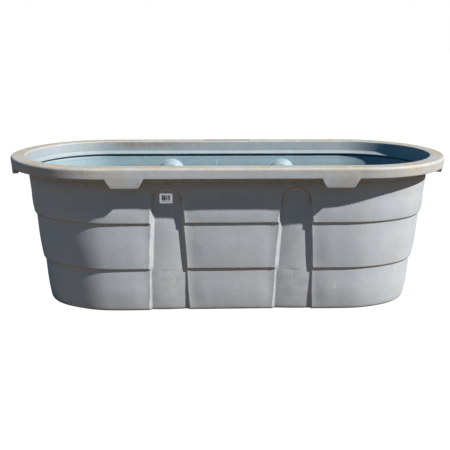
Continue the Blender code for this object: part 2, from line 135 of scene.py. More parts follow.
# The alcove for the drain, and how much wider it gets for each unit that it comes out.
ALCOVE_RADIUS = 0.052
ALCOVE_FLARE = 0.36
WAVES_X, WAVES_Z = 0.006, 0.470


# ---------------------------------------------------------------- smooth fields


def smooth_max(a, b, width):
    """The larger of a and b, with their crossing rounded over a stretch of this width."""
    near = np.clip(1 - np.abs(a - b) / width, 0, None)
    return np.maximum(a, b) + near * near * width / 4


def smooth_step(low, high, x):
    """0 at low, 1 at high and smooth between. low may be the larger one."""
    t = np.clip((x - low) / (high - low), 0, 1)
    return t * t * (3 - 2 * t)


def bump(x, width):
    return np.exp(-((x / width) ** 2))


def blurred(line, radius):
    """A function of height through the line's points, with each corner rounded."""
    step = 0.00025
    z = np.arange(-0.05, 0.68, step)
    values = np.interp(z, *np.array(line).T)
    reach = np.arange(-4 * radius, 4 * radius, step)
    kernel = np.exp(-((reach / radius) ** 2) / 2)
    kernel /= kernel.sum()
    margin = len(kernel) // 2
    values = np.convolve(np.pad(values, margin, mode="edge"), kernel, mode="same")
    values = values[margin:][: len(z)]
    return lambda height: np.interp(height, z, values)


OUTER_WALL = blurred(WALL_LINE, 0.0011)
INNER_WALL = blurred(INNER_LINE, 0.0014)
CHANNEL_LINES = [blurred(CHANNEL[:, (0, i)], 0.006) for i in range(1, 5)]


def growth(slope, thickness):
    """How much wider a recess's outline is on the far side of the wall."""
    return thickness * (np.hypot(1.0, slope) - slope)


def channel_field(x, z, thickness, corner):
    """Inset of the nearest channel's surface at (x, z), and the distance from its mouth's edge."""
    floor, inner, mouth, outer = (line(z) for line in CHANNEL_LINES)
    drift = CHANNEL_DRIFT * np.clip(1 - z / 0.42, 0, 1)
    along = np.where(x > 0, x - CHANNEL_X, x + CHANNEL_X) - drift
    slope = (outer - inner) / (floor - mouth)
    grow = growth(slope, thickness)
    radial = np.where(z > ARCH_Z, np.hypot(along, z - ARCH_Z), np.abs(along))
    past = radial - inner - grow
    crown = 0.0042 * np.clip(1 - (along / inner) ** 2, 0, 1) * smooth_step(0.43, 0.34, z)
    field = floor - crown + thickness - smooth_max(past, 0 * past, corner) / slope
    return field, radial - outer - grow


def alcove_field(x, z, thickness, corner):
    """Inset of the drain's alcove at (x, z)."""
    floor = HALF_WIDTH - DRAIN.y
    past = np.where(z > DRAIN.z, np.hypot(x, z - DRAIN.z), np.abs(x))
    past = past - ALCOVE_RADIUS - growth(ALCOVE_FLARE, thickness)
    return floor + thickness - smooth_max(past, 0 * past, corner) / ALCOVE_FLARE


def warp(x, y, z):
    """Slow unevenness of the tub, none of it at the lip or the foot."""
    fade = smooth_step(0.0, 0.12, z) * smooth_step(0.55, 0.42, z)
    waves = np.sin(5.1 * x + 1.3) * np.sin(7.3 * z + 0.4) + 0.7 * np.sin(11.0 * x - 9.0 * z + 2.0 * y)
    return 0.0005 * waves * fade


def belly(z, from_mouth):
    """How far the tiers bulge outwards. The channels hold them flat."""
    total = 0.0
    for low, high, most in TIERS:
        depth = np.clip((high - z) / (high - low), 0, 1)
        total = total + most * (depth - (np.clip(depth - 0.35, 0, None) / 0.65) ** 2)
    return total * smooth_step(0.0, 0.070, from_mouth)


def side_bow(x, z):
    """How far the long sides bulge out at x, in the middle and beyond the channels."""
    along = np.abs(x)
    pillow = np.interp(z, *np.array(PILLOW_LINE).T) * np.clip(1 - (along / 0.150) ** 2, 0, 1)
    most = 0.0080 + 0.0030 * np.clip(1 - z / 0.20, 0, 1)
    right = most * smooth_step(0.590, 0.450, along) - 0.0020 * bump(along - 0.640, 0.045)
    left = (most + 0.0105) * smooth_step(0.660, 0.420, along)
    left = left - 0.0105 * smooth_step(0.830, 0.640, along)
    upward = smooth_step(0.560, 0.300, z) * (0.6 + 0.4 * smooth_step(0, 0.1, z))
    share = smooth_step(0.170, 0.400, along) * upward
    drawn_in = 0.0045 * smooth_step(0.800, 0.600, along) * smooth_step(0.556, 0.500, z)
    return pillow + np.where(x < 0, left, right) * share - drawn_in


def wave_relief(x, z):
    """Three raised wavy lines in the middle of the front, a plain sign for water."""
    total = np.zeros_like(x)
    for row in (-1, 0, 1):
        centre = WAVES_Z + 0.0125 * row + 0.0026 * np.sin(2 * np.pi * x / 0.042)
        reach = 0.066 - 0.012 * abs(row)
        ends = smooth_step(reach, reach - 0.006, np.abs(x - WAVES_X))
        total += ends * smooth_step(0.0030, 0.0012, np.abs(z - centre))
    return 0.0011 * total


def tub_inset(columns, z, thickness):
    """Inset of the tub's outer or inner surface at every station, for one height. It comes with the closeness
    to a channel's edge, the depth in a channel and the distance from its mouth."""
    inside = thickness > 0
    x, side = columns["x"], columns["side"]
    wall = (INNER_WALL if inside else OUTER_WALL)(z) + warp(x, columns["y"], z)
    channel, from_mouth = channel_field(x, z, thickness, 0.005 if inside else 0.0035)
    channel = np.where(side != 0, channel, -1.0)
    from_mouth = np.where(side != 0, from_mouth, 1.0)
    bow = side_bow(x - 0.09 * columns["dx"], z)
    wall = wall - belly(z, from_mouth) - bow
    channel = channel - np.where(side != 0, bow, 0.0)
    if not inside:
        lip = 0.0014 + 0.0008 * smooth_step(ARCH_Z - 0.08, ARCH_Z, z)
        wall = wall - lip * np.exp(-np.clip(from_mouth, 0, None) / 0.009) * smooth_step(0.552, 0.538, z)
        wall = wall - np.where(side < 0, wave_relief(x, z), 0.0)
    joined = smooth_max(wall, channel, 0.0035 if inside else 0.0024)
    edge = np.clip(1 - np.abs(wall - channel) / 0.006, 0, 1)
    alcove = np.where(side > 0, alcove_field(x, z, thickness, 0.005), -1.0)
    depth = np.clip((channel - wall) / 0.02, 0, 1)
    return smooth_max(joined, alcove, 0.006), edge, depth, from_mouth


# ---------------------------------------------------------------- rows and skins


def spread(low, high, spacing):
    """Points from low to high with the local spacing that spacing(x) gives."""
    x = np.linspace(low, high, 8001)
    done = np.concatenate(([0], np.cumsum(np.diff(x) / spacing((x[1:] + x[:-1]) / 2))))
    return np.interp(np.linspace(0, done[-1], math.ceil(done[-1]) + 1), done, x)


def side_stations(x, side):
    """Stations along a straight side: their place at inset 0, the direction outwards and the side."""
    one = np.ones_like(x)
    return x, side * HALF_WIDTH * one, 0 * x, side * one, side * one


def end_stations(turns, end):
    """Stations round an end, which is on no side."""
    along, across = np.cos(turns), end * np.sin(turns)
    return end * (STRAIGHT + END_LENGTH * along), HALF_WIDTH * across, end * along, across, 0 * along


def stations(front, back, turns):
    """One loop of stations: the front side, the right end, the back side and the left end."""
    loop = (
        side_stations(front[1:-1], -1),
        end_stations(turns, 1),
        side_stations(back[-2:0:-1], 1),
        end_stations(turns, -1),
    )
    return dict(zip(("x", "y", "dx", "dy", "side"), (np.concatenate(part) for part in zip(*loop))))


class Rows:
    """Rows of points on the stations' columns, with the value of each mask."""

    def __init__(self, columns, mask_names):
        self.columns = columns
        self.points = []
        self.masks = {name: [] for name in mask_names}

    def add(self, inset, z, **values):
        """Adds a row. Its inset, height and masks are one number, or one number for each station."""
        columns = self.columns
        row = (columns["x"] - inset * columns["dx"], columns["y"] - inset * columns["dy"], z + 0 * columns["x"])
        self.points.append(np.stack(row, -1))
        for name, mask in self.masks.items():
            mask.append(values.get(name, 0.0) + 0 * columns["x"])


def linked(name, mesh):
    obj = bpy.data.objects.new(name, mesh)
    bpy.context.scene.collection.objects.link(obj)
    return obj


def skin(name, rows, closed=False, caps=False, masks=None):
    """An object over rows of points that each close on themselves."""
    points = np.array(rows)
    height, count = points.shape[:2]
    i = np.arange(height if closed else height - 1)[:, None]
    j = np.arange(count)[None, :]
    low, high = i * count, (i + 1) % height * count
    after = (j + 1) % count
    faces = np.stack((low + j, low + after, high + after, high + j), -1).reshape(-1, 4).tolist()
    if caps:
        faces += [list(range(count))[::-1], list(range((height - 1) * count, height * count))]
    mesh = bpy.data.meshes.new(name)
    mesh.from_pydata(points.reshape(-1, 3).tolist(), [], faces)
    mesh.shade_smooth()
    for key, values in (masks or {}).items():
        layer = mesh.attributes.new(key, "FLOAT", "POINT")
        layer.data.foreach_set("value", np.array(values, np.float32).ravel())
    return facing_out(linked(name, mesh))


def facing_out(obj):
    """Turns a closed mesh's faces outwards if its volume is negative."""
    work = bmesh.new()
    work.from_mesh(obj.data)
    if work.calc_volume(signed=True) < 0:
        bmesh.ops.reverse_faces(work, faces=work.faces)
        work.to_mesh(obj.data)
    work.free()
    return obj


def made_of(work, name):
    """An object made of a bmesh, which is freed."""
    mesh = bpy.data.meshes.new(name)
    work.to_mesh(mesh)
    work.free()
    return linked(name, mesh)


def combine(obj, other, operation, solver):
    """Applies a Boolean and removes the other object."""
    modifier = obj.modifiers.new("combine", "BOOLEAN")
    modifier.operation = operation
    modifier.solver = solver
    modifier.object = other
    graph = bpy.context.evaluated_depsgraph_get()
    mesh = bpy.data.meshes.new_from_object(obj.evaluated_get(graph))
    obj.modifiers.clear()
    old = obj.data
    obj.data = mesh
    bpy.data.meshes.remove(old)
    bpy.data.objects.remove(other)


def stand_in(obj, node, material):
    """Puts an object in a CAD node's place, on its body and in its material slot."""
    obj.data.materials.clear()
    obj.data.materials.append(material)
    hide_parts(node)
    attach(obj, NODE_BODY[node])


def arc(centre, radius, start, stop, count):
    """Points of (inset, height) on an arc, from start to stop in degrees."""
    turns = np.radians(np.linspace(start, stop, count))
    return [(centre[0] + radius * math.cos(t), centre[1] + radius * math.sin(t)) for t in turns]


# ---------------------------------------------------------------- tub

FOOT_TURNS = np.radians(np.linspace(0, 75, 6))
SEAM_Z = 0.5375


def tub_columns(back):
    """Where a side's stations are: close at the channels' edges, and at the waves or the alcove's edges."""

    def spacing(x):
        off = np.abs(np.abs(x) - CHANNEL_X)
        edge = (off > 0.044) & (off < 0.092)
        beside = (off > 0.030) & (off < 0.104)
        gap = np.select((edge, beside, off <= 0.030), (0.0015, 0.0030, 0.005), 0.009)
        if back:
            alcove = np.abs(x) <= 0.045
            alcove_edge = (np.abs(x) > 0.045) & (np.abs(x) < 0.078)
            return np.select((alcove_edge, alcove), (0.0023, 0.005), gap)
        return np.where(np.abs(x - WAVES_X) < 0.074, 0.0026, gap)

    return spread(-STRAIGHT, STRAIGHT, spacing)


def tub_heights():
    """Heights of the wall's rows: close at the steps, the arches, the lip and the drain."""

    def spacing(z):
        off_step = np.min([np.abs(z - step) for step in STEPS_Z], axis=0)
        return np.select(
            (off_step < 0.0075, off_step < 0.02, z >= 0.54, z > 0.438, np.abs(z - 0.1) < 0.035),
            (0.0010, 0.004, 0.0016, 0.0022, 0.0030),
            0.009,
        )

    return spread(FOOT_RADIUS, LIP_Z - LIP_ROUNDING, spacing)


def outside_grime(z, depth, from_mouth):
    """Soiling round the foot and low in the channels. Under the steps and the rim and along the channels' edges, the
    mud colour is partly real mud and partly painted shade.
    """
    on_panel = smooth_step(-0.003, 0.003, from_mouth)
    # Mud colour on the steps' undersides: partly real mud, partly painted shade.
    under = sum(bump(z - step - 0.0018, 0.0042) for step in STEPS_Z) * on_panel
    low = 0.75 * math.exp(-z / 0.010) + 0.45 * depth * bump(z, 0.11)
    # Mud colour in the creases at the channels' edges, more round the arches: partly real mud, partly painted shade.
    arch = 0.60 * smooth_step(ARCH_Z - 0.03, ARCH_Z + 0.02, z)
    crease = (0.15 + arch) * bump(from_mouth + 0.005, 0.005) * (z < 0.535)
    # Mud colour high up under the rim's overhang: partly real mud, partly painted shade.
    high = 0.8 * smooth_step(0.50, 0.565, z)
    return np.clip(0.85 * under + low + crease + high, 0, 1)


class TubRows(Rows):
    """The tub's rows: from the middle of its underside up to the lip, and down inside to its floor."""

    def __init__(self):
        turns = np.radians(np.linspace(-90, 90, 85))
        columns = stations(tub_columns(back=False), tub_columns(back=True), turns)
        # The inside mask is how much of the inside's painted shade colour a point takes.
        super().__init__(columns, ("inside", "edge", "grime"))

    def underside(self):
        self.add(MIDDLE_INSET, 0.0, grime=0.6)
        self.add(FLAT_INSET, 0.0, grime=0.6)
        for turn in FOOT_TURNS:
            z = FOOT_RADIUS * (1 - math.cos(turn))
            inset = tub_inset(self.columns, z, 0.0)[0] + FOOT_RADIUS * (1 - math.sin(turn))
            self.add(inset, z, grime=1.0 - 0.4 * math.sin(turn))

    def outer_wall(self):
        for z in tub_heights():
            inset, edge, depth, from_mouth = tub_inset(self.columns, z, 0.0)
            self.add(inset, z, edge=edge, grime=outside_grime(z, depth, from_mouth))

    def lip(self):
        low = LIP_Z - LIP_ROUNDING
        outer, inner = (tub_inset(self.columns, low, thickness)[0] for thickness in (0.0, WALL))
        for turn in np.radians(np.linspace(20, 160, 6)):
            inset = (outer + inner) / 2 - (inner - outer) / 2 * math.cos(turn)
            self.add(inset, low + LIP_ROUNDING * math.sin(turn), inside=0.5, grime=0.3)

    def inner_wall(self):
        """The wall inside, with a fine groove under the rim whose mud colour is partly painted shade, less of the
        painted inside shade on the domes so that they read lighter, and mud colour that grows towards the bottom.
        """
        heights = tub_heights()[::-1]
        for z in heights[heights >= FLOOR + FOOT_RADIUS]:
            inset, edge, depth, _ = tub_inset(self.columns, z, WALL)
            seam = bump(z - SEAM_Z, 0.0018)
            # Mud colour in the groove, partly painted shade, and more of it towards the bottom.
            grime = np.clip(0.25 * seam + 0.75 * smooth_step(0.46, 0.30, z), 0, 1)
            # The domes take less of the inside's painted shade, so they read lighter.
            coloured = 1.0 - 0.35 * smooth_step(0.05, 0.5, depth)
            self.add(inset + 0.0006 * seam, z, inside=coloured, edge=edge, grime=grime)

    def floor(self):
        for turn in FOOT_TURNS[::-1]:
            z = FLOOR + FOOT_RADIUS * (1 - math.cos(turn))
            inset = tub_inset(self.columns, z, WALL)[0] + FOOT_RADIUS * (1 - math.sin(turn))
            self.add(inset, z, inside=1.0, grime=0.7)
        self.add(FLAT_INSET + 0.004, FLOOR, inside=1.0, grime=0.6)
        self.add(MIDDLE_INSET, FLOOR, inside=1.0, grime=0.6)


def drain_drill():
    """A round bar through the wall, where the drain's sleeve goes."""
    work = bmesh.new()
    place = Matrix.Translation(DRAIN) @ Matrix.Rotation(math.pi / 2, 4, "X")
    size = {"radius1": 0.0240, "radius2": 0.0240, "depth": 0.06}
    bmesh.ops.create_cone(work, cap_ends=True, segments=96, matrix=place, **size)
    return made_of(work, "drill")


def make_tub():
    """The moulded tub, with the drain's hole."""
    rows = TubRows()
    rows.underside()
    rows.outer_wall()
    rows.lip()
    rows.inner_wall()
    rows.floor()
    tub = skin("tub_moulding", rows.points, caps=True, masks=rows.masks)
    combine(tub, drain_drill(), "DIFFERENCE", "EXACT")
    return tub


# ---------------------------------------------------------------- rim

SKIRT_Z = 0.5686
SKIRT_LEAN = 0.0018
EDGE_RADIUS = 0.0022
RIM_WALL = 0.006
TOP_UNDER_Z = HEIGHT - 0.008
CORNER_RADIUS = 0.0095
# How far the top's inner part lies below its outer part.
CROWN = 0.0004

# The tabs: two on each side at +-TAB_X and one on each end, each this wide at its top and bottom.
TAB_X = 0.400
TAB_TOP, TAB_BOTTOM = 0.0720, 0.0525
TAB_DEPTH = 0.024

# The recess for a float valve, in the middle of the back.
SEAT_X = 0.1015
SEAT_INSET = 0.035
SEAT_DROP = 0.008
# The recess's inner wall: how far outwards from SEAT_INSET, and its share of the drop.
SEAT_WALL = (
    (-0.0014, 0.0),
    (-0.0006, 0.12),
    (0.0, 0.5),
    (0.0006, 0.88),
    (0.0014, 1.0),
)
# The back of the lip in front of the recess: inset, and its share of the drop. LIP_LOWER is the lip's own drop.
SEAT_LIP = (
    (0.0085, 1.0),
    (0.0064, 0.94),
    (0.0056, 0.55),
    (0.0051, 0.22),
)
LIP_LOWER = 0.0008


def rim_columns(back):
    """Where a side's stations are: close at the tabs' slopes and the recess's ends."""

    def spacing(x):
        off = np.abs(np.abs(x) - TAB_X)
        gap = np.where((off > 0.044) & (off < 0.080), 0.0017, 0.009)
        if back:
            gap = np.where(np.abs(np.abs(x) - SEAT_X) < 0.006, 0.0007, gap)
        return gap

    return spread(-STRAIGHT, STRAIGHT, spacing)


def rim_turns():
    """The same round an end, in radians."""

    def spacing(turn):
        off = np.abs(HALF_WIDTH * np.sin(turn))
        return np.where((off > 0.044) & (off < 0.080), 0.0052, 0.034)

    return spread(-math.pi / 2, math.pi / 2, spacing)


def tab_share(along):
    """How much of a tab hangs down at this distance from the tab's middle, 0 to 1."""
    ramp = (TAB_TOP - np.abs(along)) / (TAB_TOP - TAB_BOTTOM)
    ramp = smooth_max(ramp, 0 * ramp, 0.14)
    return 1 - smooth_max(1 - ramp, 0 * ramp, 0.30)


class RimRows(Rows):
    """The rim's rows: up its inside, outwards over the top, down the skirt, and back under it."""

    def __init__(self):
        columns = stations(rim_columns(back=False), rim_columns(back=True), rim_turns())
        # The inside mask is how much of the inside's painted shade colour a point takes.
        super().__init__(columns, ("inside", "dust", "grime", "edge"))
        x, side = columns["x"], columns["side"]
        along = np.where(side == 0, columns["y"], np.abs(x) - TAB_X)
        tab = tab_share(along)
        recess = smooth_step(SEAT_X + 0.0016, SEAT_X - 0.0016, np.abs(x))
        self.bottom = SKIRT_Z - (SKIRT_Z - TAB_Z + 0.0015) * tab
        self.lean = np.where(side == 0, 0.0008, 0.0045) * tab
        self.in_tab = smooth_step(TAB_TOP + 0.0012, TAB_TOP - 0.0004, np.abs(along))
        self.seat = np.where(side > 0, recess, 0.0)
        self.stain = np.where(side > 0, bump(x + 0.36, 0.17) + 0.12, 0.1)

    def inner_side(self):
        """A bead, a ledge, and the wall above it up to the top."""
        for inset, z in arc((0.0754, 0.5566), 0.0018, -80, 62, 7):
            self.add(inset, z, inside=1.0, grime=0.1)
        for inset, z in ((0.0724, 0.5604), (0.0688, 0.5630)):
            self.add(inset, z, inside=1.0, grime=0.05)
        for inset, z in arc((0.0691, 0.5705), 0.0060, 231, 180, 6):
            self.add(inset, z, inside=1.0)
        # Less of the inside's painted shade higher up the inner face; dust and real brown stains grow upwards.
        for share in (0.2, 0.4, 0.6, 0.8, 1.0):
            look = {"inside": 1.0 - 0.3 * share, "dust": 0.15 * share}
            grime = np.clip(1.5 * share * self.stain, 0, 1)
            self.add(0.0631 - 0.0041 * share, 0.5712 + 0.0338 * share, grime=grime, **look)
        for inset, z in arc((0.0542, 0.6050), 0.0048, 0, 90, 7)[1:]:
            self.add(inset, z - CROWN, inside=0.4, dust=0.5, edge=0.6)

    def top(self):
        """The top, with the recess let into its outer part."""
        for inset, drop in ((0.050, CROWN), (0.044, 0.0), (0.0395, 0.0)):
            self.add(inset, HEIGHT - drop, dust=1.0)
        recess = [(SEAT_INSET - outwards, share) for outwards, share in SEAT_WALL]
        recess += [(inset, 1.0) for inset in (0.030, 0.024, 0.018, 0.012)]
        for inset, share in recess:
            # The recess is coloured mud, for real mud and for the shade in it.
            self.add(inset, HEIGHT - SEAT_DROP * share * self.seat, dust=1.0 - 0.9 * self.seat, grime=1.9 * self.seat)

    def corner(self):
        """The rounded outer corner. At the recess, its upper part becomes the back of a thin lip."""
        seat = self.seat
        rounding = arc((CORNER_RADIUS, HEIGHT - CORNER_RADIUS), CORNER_RADIUS, 90, 180, 13)
        # Mud colour on the lip's back at the recess, for real mud and for the shade in the recess.
        for (inset, z), (lip_inset, share) in zip(rounding, SEAT_LIP):
            lip_z = HEIGHT - SEAT_DROP * share - (LIP_LOWER if share < 0.3 else 0.0)
            z = z + (lip_z - z) * seat
            self.add(inset + (lip_inset - inset) * seat, z, dust=0.95 - 0.9 * seat, grime=1.9 * seat)
        for inset, z in rounding[len(SEAT_LIP) :]:
            below = HEIGHT - z
            # Mud colour just below the top at the recess, for real mud and painted shade.
            recess_soil_and_shade = seat * smooth_step(0.007, 0.002, below)
            self.add(inset, z, dust=(0.95 - 50 * below) * (1 - 0.9 * recess_soil_and_shade), grime=1.9 * recess_soil_and_shade, edge=0.3)

    def skirt(self):
        """The face down to the rounded bottom edge. It hangs lower at the tabs, and leans in there."""
        face_top = HEIGHT - CORNER_RADIUS
        lean_from = SKIRT_Z + 0.004
        ends = smooth_step(0.28, 0.52, np.abs(self.columns["x"]))
        for share in np.linspace(0.12, 1.0, 8):
            z = face_top + (self.bottom + EDGE_RADIUS - face_top) * share
            below = np.clip((lean_from - z) / (lean_from - TAB_Z), 0, 1)
            dust = 0.35 * (1 - share) + 0.95 * ends * (1 - 0.45 * share)
            self.add(SKIRT_LEAN * share + self.lean * below, z, dust=dust, grime=0.25 * bump(share - 1, 0.2))
        for turn in np.radians((22, 45, 68, 90)):
            inset = SKIRT_LEAN + self.lean + EDGE_RADIUS * (1 - math.cos(turn))
            self.add(inset, self.bottom + EDGE_RADIUS * (1 - math.sin(turn)), grime=0.35, edge=0.2)

    def under_side(self):
        """Under the tabs, up behind the skirt, under the top and down to the bead."""
        bottom = self.bottom
        start = SKIRT_LEAN + self.lean + EDGE_RADIUS
        behind = SKIRT_LEAN + self.lean + RIM_WALL
        depth = RIM_WALL + (TAB_DEPTH - RIM_WALL) * self.in_tab
        row = [(start + (depth - 0.0012 - start) * share, bottom) for share in (0.3, 0.6, 0.9)]
        row += [(depth, bottom + 0.0010), (depth, bottom + 0.0045), (depth - 0.0008 * self.in_tab, bottom + 0.0055)]
        row += [((depth + behind) / 2, bottom + 0.0060), (behind, bottom + 0.0065)]
        for share in (0.25, 0.5, 0.75, 1.0):
            z = bottom + 0.0065 + (TOP_UNDER_Z - 0.001 - bottom - 0.0065) * share
            row.append((behind + (RIM_WALL - behind) * share, z))
        row += [(inset, TOP_UNDER_Z - 0.0055 * self.seat) for inset in (0.008, 0.020, 0.034, 0.0395)]
        row += [(0.0425, TOP_UNDER_Z - 0.0004), (0.0530, 0.6018), (0.0552, 0.5950)]
        row += [(0.0570, 0.5800), (0.0579, 0.5660), (0.0600, 0.5608)]
        # Mud colour over the rim's underside and under the bead: partly real mud, partly painted shade.
        for inset, z in row:
            self.add(inset, z, grime=0.6)
        for inset, z in ((0.0650, 0.5550), (0.0702, 0.5506), (0.0728, 0.5514), (0.0746, 0.5536)):
            self.add(inset, z, inside=1.0, grime=0.6)


def make_rim():
    """The capping rim with its six tabs."""
    rows = RimRows()
    rows.inner_side()
    rows.top()
    rows.corner()
    rows.skirt()
    rows.under_side()
    return skin("rim_moulding", rows.points, closed=True, masks=rows.masks)


# ---------------------------------------------------------------- sticker

STICKER_FRONT = 0.00052
STICKER_BACK = 0.00016


def rounded_rectangle(half_x, half_z, radius):
    """Points round a rectangle with rounded corners, from its middle."""
    turns = np.radians(np.arange(0, 360, 4.0)) + 0.01
    half = np.array(((half_x,), (half_z,)))
    point = np.stack((np.cos(turns), np.sin(turns)))
    point = point / np.max(np.abs(point) / half, axis=0)
    beyond = np.clip(np.abs(point) - half + radius, 0, None)
    reach = np.hypot(*beyond)
    shrink = np.where(reach > radius, radius / np.maximum(reach, 1e-9), 1.0)
    return np.sign(point) * (np.minimum(np.abs(point), half - radius) + beyond * shrink)


def make_sticker():
    """The stock sticker, draped on the channel's floor. A corner of it curls off."""
    low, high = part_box("stock_label")
    half_x, half_z = (high.x - low.x) / 2, (high.z - low.z) / 2
    outline = rounded_rectangle(half_x, half_z, 0.0030)
    shares = (0.02, 0.3, 0.6, 0.85, 0.96, 1.0)
    layers = [(share, STICKER_FRONT) for share in shares] + [(share, STICKER_BACK) for share in shares[::-1]]
    rings, masks = [], {"print_x": [], "print_z": []}
    for share, stand in layers:
        print_x, print_z = outline * share
        x, z = (low.x + high.x) / 2 + print_x, (low.z + high.z) / 2 + print_z
        inset = channel_field(x, z, 0.0, 0.0035)[0] - side_bow(x, z)
        curl = 0.0007 * smooth_step(0.7, 1.5, print_x / half_x + print_z / half_z)
        rings.append(np.stack((x, inset - HALF_WIDTH - stand - curl, z), -1))
        masks["print_x"].append(print_x)
        masks["print_z"].append(print_z)
    return skin("sticker", rings, caps=True, masks=masks)


# ---------------------------------------------------------------- drain


def drain_span(node):
    """Where a CAD node starts and ends on the drain's axis, outwards from the alcove's floor."""
    low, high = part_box(node)
    return low.y - DRAIN.y, high.y - DRAIN.y


class Thread:
    """A screw thread of three turns on the drain's axis, which starts 3.5 turns in from its end."""

    turns = 3

    def __init__(self, root, crest, pitch, end):
        self.root = root
        self.crest = crest
        self.pitch = pitch
        self.start = end - 3.5 * pitch

    def ridge(self, turn, height, clearance=0.0, early=0.0, shift=0):
        """How far the thread stands out of its root. It may start some turns early or be shifted outwards."""
        climb = (height - self.start) / self.pitch - shift - turn / (2 * np.pi)
        nearest = np.round(climb)
        off = np.abs(climb - nearest) * self.pitch
        half_root, half_crest = 0.36 * self.pitch + clearance, 0.16 * self.pitch + clearance
        ridge = np.clip((half_root - off) / (half_root - half_crest), 0, 1)
        wound = nearest + turn / (2 * np.pi)
        fade_in = smooth_step(-0.02, 0.06, wound + early)
        fade_out = smooth_step(self.turns + 0.02, self.turns - 0.06, wound)
        return ridge * fade_in * fade_out * (self.crest - self.root + clearance)


AROUND = 120
SEAL_GAP = 0.0003
CLEARANCE = 0.0005
HOLE = 0.0095
PLUG_THREAD = Thread(0.0160, 0.0177, 0.0050, drain_span("drain_sleeve")[1] - 0.002)
HOSE_THREAD = Thread(0.0121, 0.0132, 0.0025, drain_span("drain_plug")[1] - 0.0015)
SEAL_BORES = {
    "inner_gasket": 0.0235,
    "outer_washer": 0.0235,
    "plug_gasket": 0.0185,
    "hose_cap_washer": 0.0095,
}


def turned_skin(name, profile, shape=None, closed=True):
    """A turned piece from rows of (radius, height) or (radius, height, tag). shape(turn, radius, height, tag)
    gives the radius of a tagged row."""
    turn = np.linspace(0, 2 * np.pi, AROUND, endpoint=False)
    rings = []
    for radius, height, *tag in profile:
        r = shape(turn, radius, height, tag[0]) if tag else radius + 0 * turn
        # The drain's axis is +Y. A turn starts at +X and goes towards -Z.
        rings.append(np.stack((r * np.cos(turn), height + 0 * r, -r * np.sin(turn)), -1))
    return skin(name, np.array(rings) + np.array(DRAIN), closed=closed, caps=not closed)


def rounded_loop(corners, radius, steps=3):
    """A closed loop of (radius, height) with each corner rounded. A corner may carry its own rounding."""
    out = []
    for i, (*corner, own) in enumerate((*corner, radius)[:3] for corner in corners):
        here = Vector(corner)
        before = (Vector(corners[i - 1][:2]) - here).normalized()
        after = (Vector(corners[(i + 1) % len(corners)][:2]) - here).normalized()
        for t in np.linspace(0, 1, steps + 1):
            a, b = here + before * own, here + after * own
            point = a * (1 - t) ** 2 + here * 2 * t * (1 - t) + b * t**2
            out.append((point.x, point.y))
    return out


def between(low, high, step):
    return np.linspace(low, high, max(2, round(abs(high - low) / step) + 1))


def make_sleeve():
    """The bulkhead sleeve: a flange inside the tub, and the plug's thread in its bore."""
    flange_in, end = drain_span("drain_sleeve")
    flange_out = -WALL - 0.003 - 2 * SEAL_GAP
    bore = PLUG_THREAD.root + CLEARANCE

    def threaded(turn, radius, height, tag):
        """The groove starts a turn early and goes on to the sleeve's end, to let the plug wind out."""
        groove = PLUG_THREAD.ridge(turn, height, CLEARANCE, early=1.0)
        return radius + np.maximum(groove, PLUG_THREAD.ridge(turn, height, CLEARANCE, shift=3))

    corners = [(0.0232, end), (0.0232, flange_out, 0.0002), (0.036, flange_out)]
    corners += [(0.036, flange_in, 0.0015), (bore, flange_in)]
    profile = [(bore + 0.0006, end, "thread")]
    profile += [point for point in rounded_loop(corners, 0.0007) if point[0] > bore + 0.0002]
    profile += [(bore, flange_in + 0.0006)]
    profile += [(bore, z, "thread") for z in between(flange_in + 0.0015, end - 0.0005, 0.00045)]
    return turned_skin("bulkhead_sleeve", profile, threaded)


def make_nut():
    """The locknut: a hexagon with softened corners and chamfered faces."""
    low, high = drain_span("drain_locknut")
    flat, bore = 0.030, 0.0236

    def hexagon(turn, radius, height, tag):
        local = (turn + np.pi / 6) % (np.pi / 3) - np.pi / 6
        from_face = min(height - low, high - height)
        chamfer = 0.0318 + 0.9 * from_face if from_face < 0.0035 else 1.0
        return np.minimum(np.minimum(radius / np.cos(local), radius * 1.118), chamfer)

    profile = [(bore + 0.0002, low), (flat, low)]
    profile += [(flat, low + z, "hexagon") for z in (0.0003, 0.001, 0.002, 0.004)]
    profile += [(flat, high - z, "hexagon") for z in (0.004, 0.002, 0.001, 0.0003)]
    profile += [(flat, high), (bore + 0.0007, high), (bore, high - 0.0008), (bore, low + 0.0008)]
    return turned_skin("bulkhead_nut", profile, hexagon)


def make_seal(name, node):
    """A flat ring with rounded edges."""
    low, high = drain_span(node)
    outer = (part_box(node)[1].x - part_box(node)[0].x) / 2
    inner = SEAL_BORES[node]
    rounding = min(0.0009, (high - low) * 0.35)
    return turned_skin(name, rounded_loop([(inner, high), (outer, high), (outer, low), (inner, low)], rounding))


def plug_wing(side, shoulder):
    """One wing of the screw plug, a tapered plate with softened edges."""
    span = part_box("drain_plug")[1].x - DRAIN.x
    work = bmesh.new()
    bmesh.ops.create_cube(work, size=1.0)
    for vertex in work.verts:
        at_tip, at_plug = vertex.co.y > 0, vertex.co.x < 0
        if at_tip:
            x, y, half = 0.0214 if at_plug else span, shoulder + 0.017, 0.0031
        else:
            x, y, half = 0.0197 if at_plug else span - 0.0035, shoulder - 0.0025, 0.0040
        vertex.co = DRAIN + Vector((side * x, y, math.copysign(half, vertex.co.z)))
    bmesh.ops.bevel(work, geom=work.edges[:], offset=0.0018, segments=4, affect="EDGES", profile=0.5)
    return facing_out(made_of(work, "wing"))


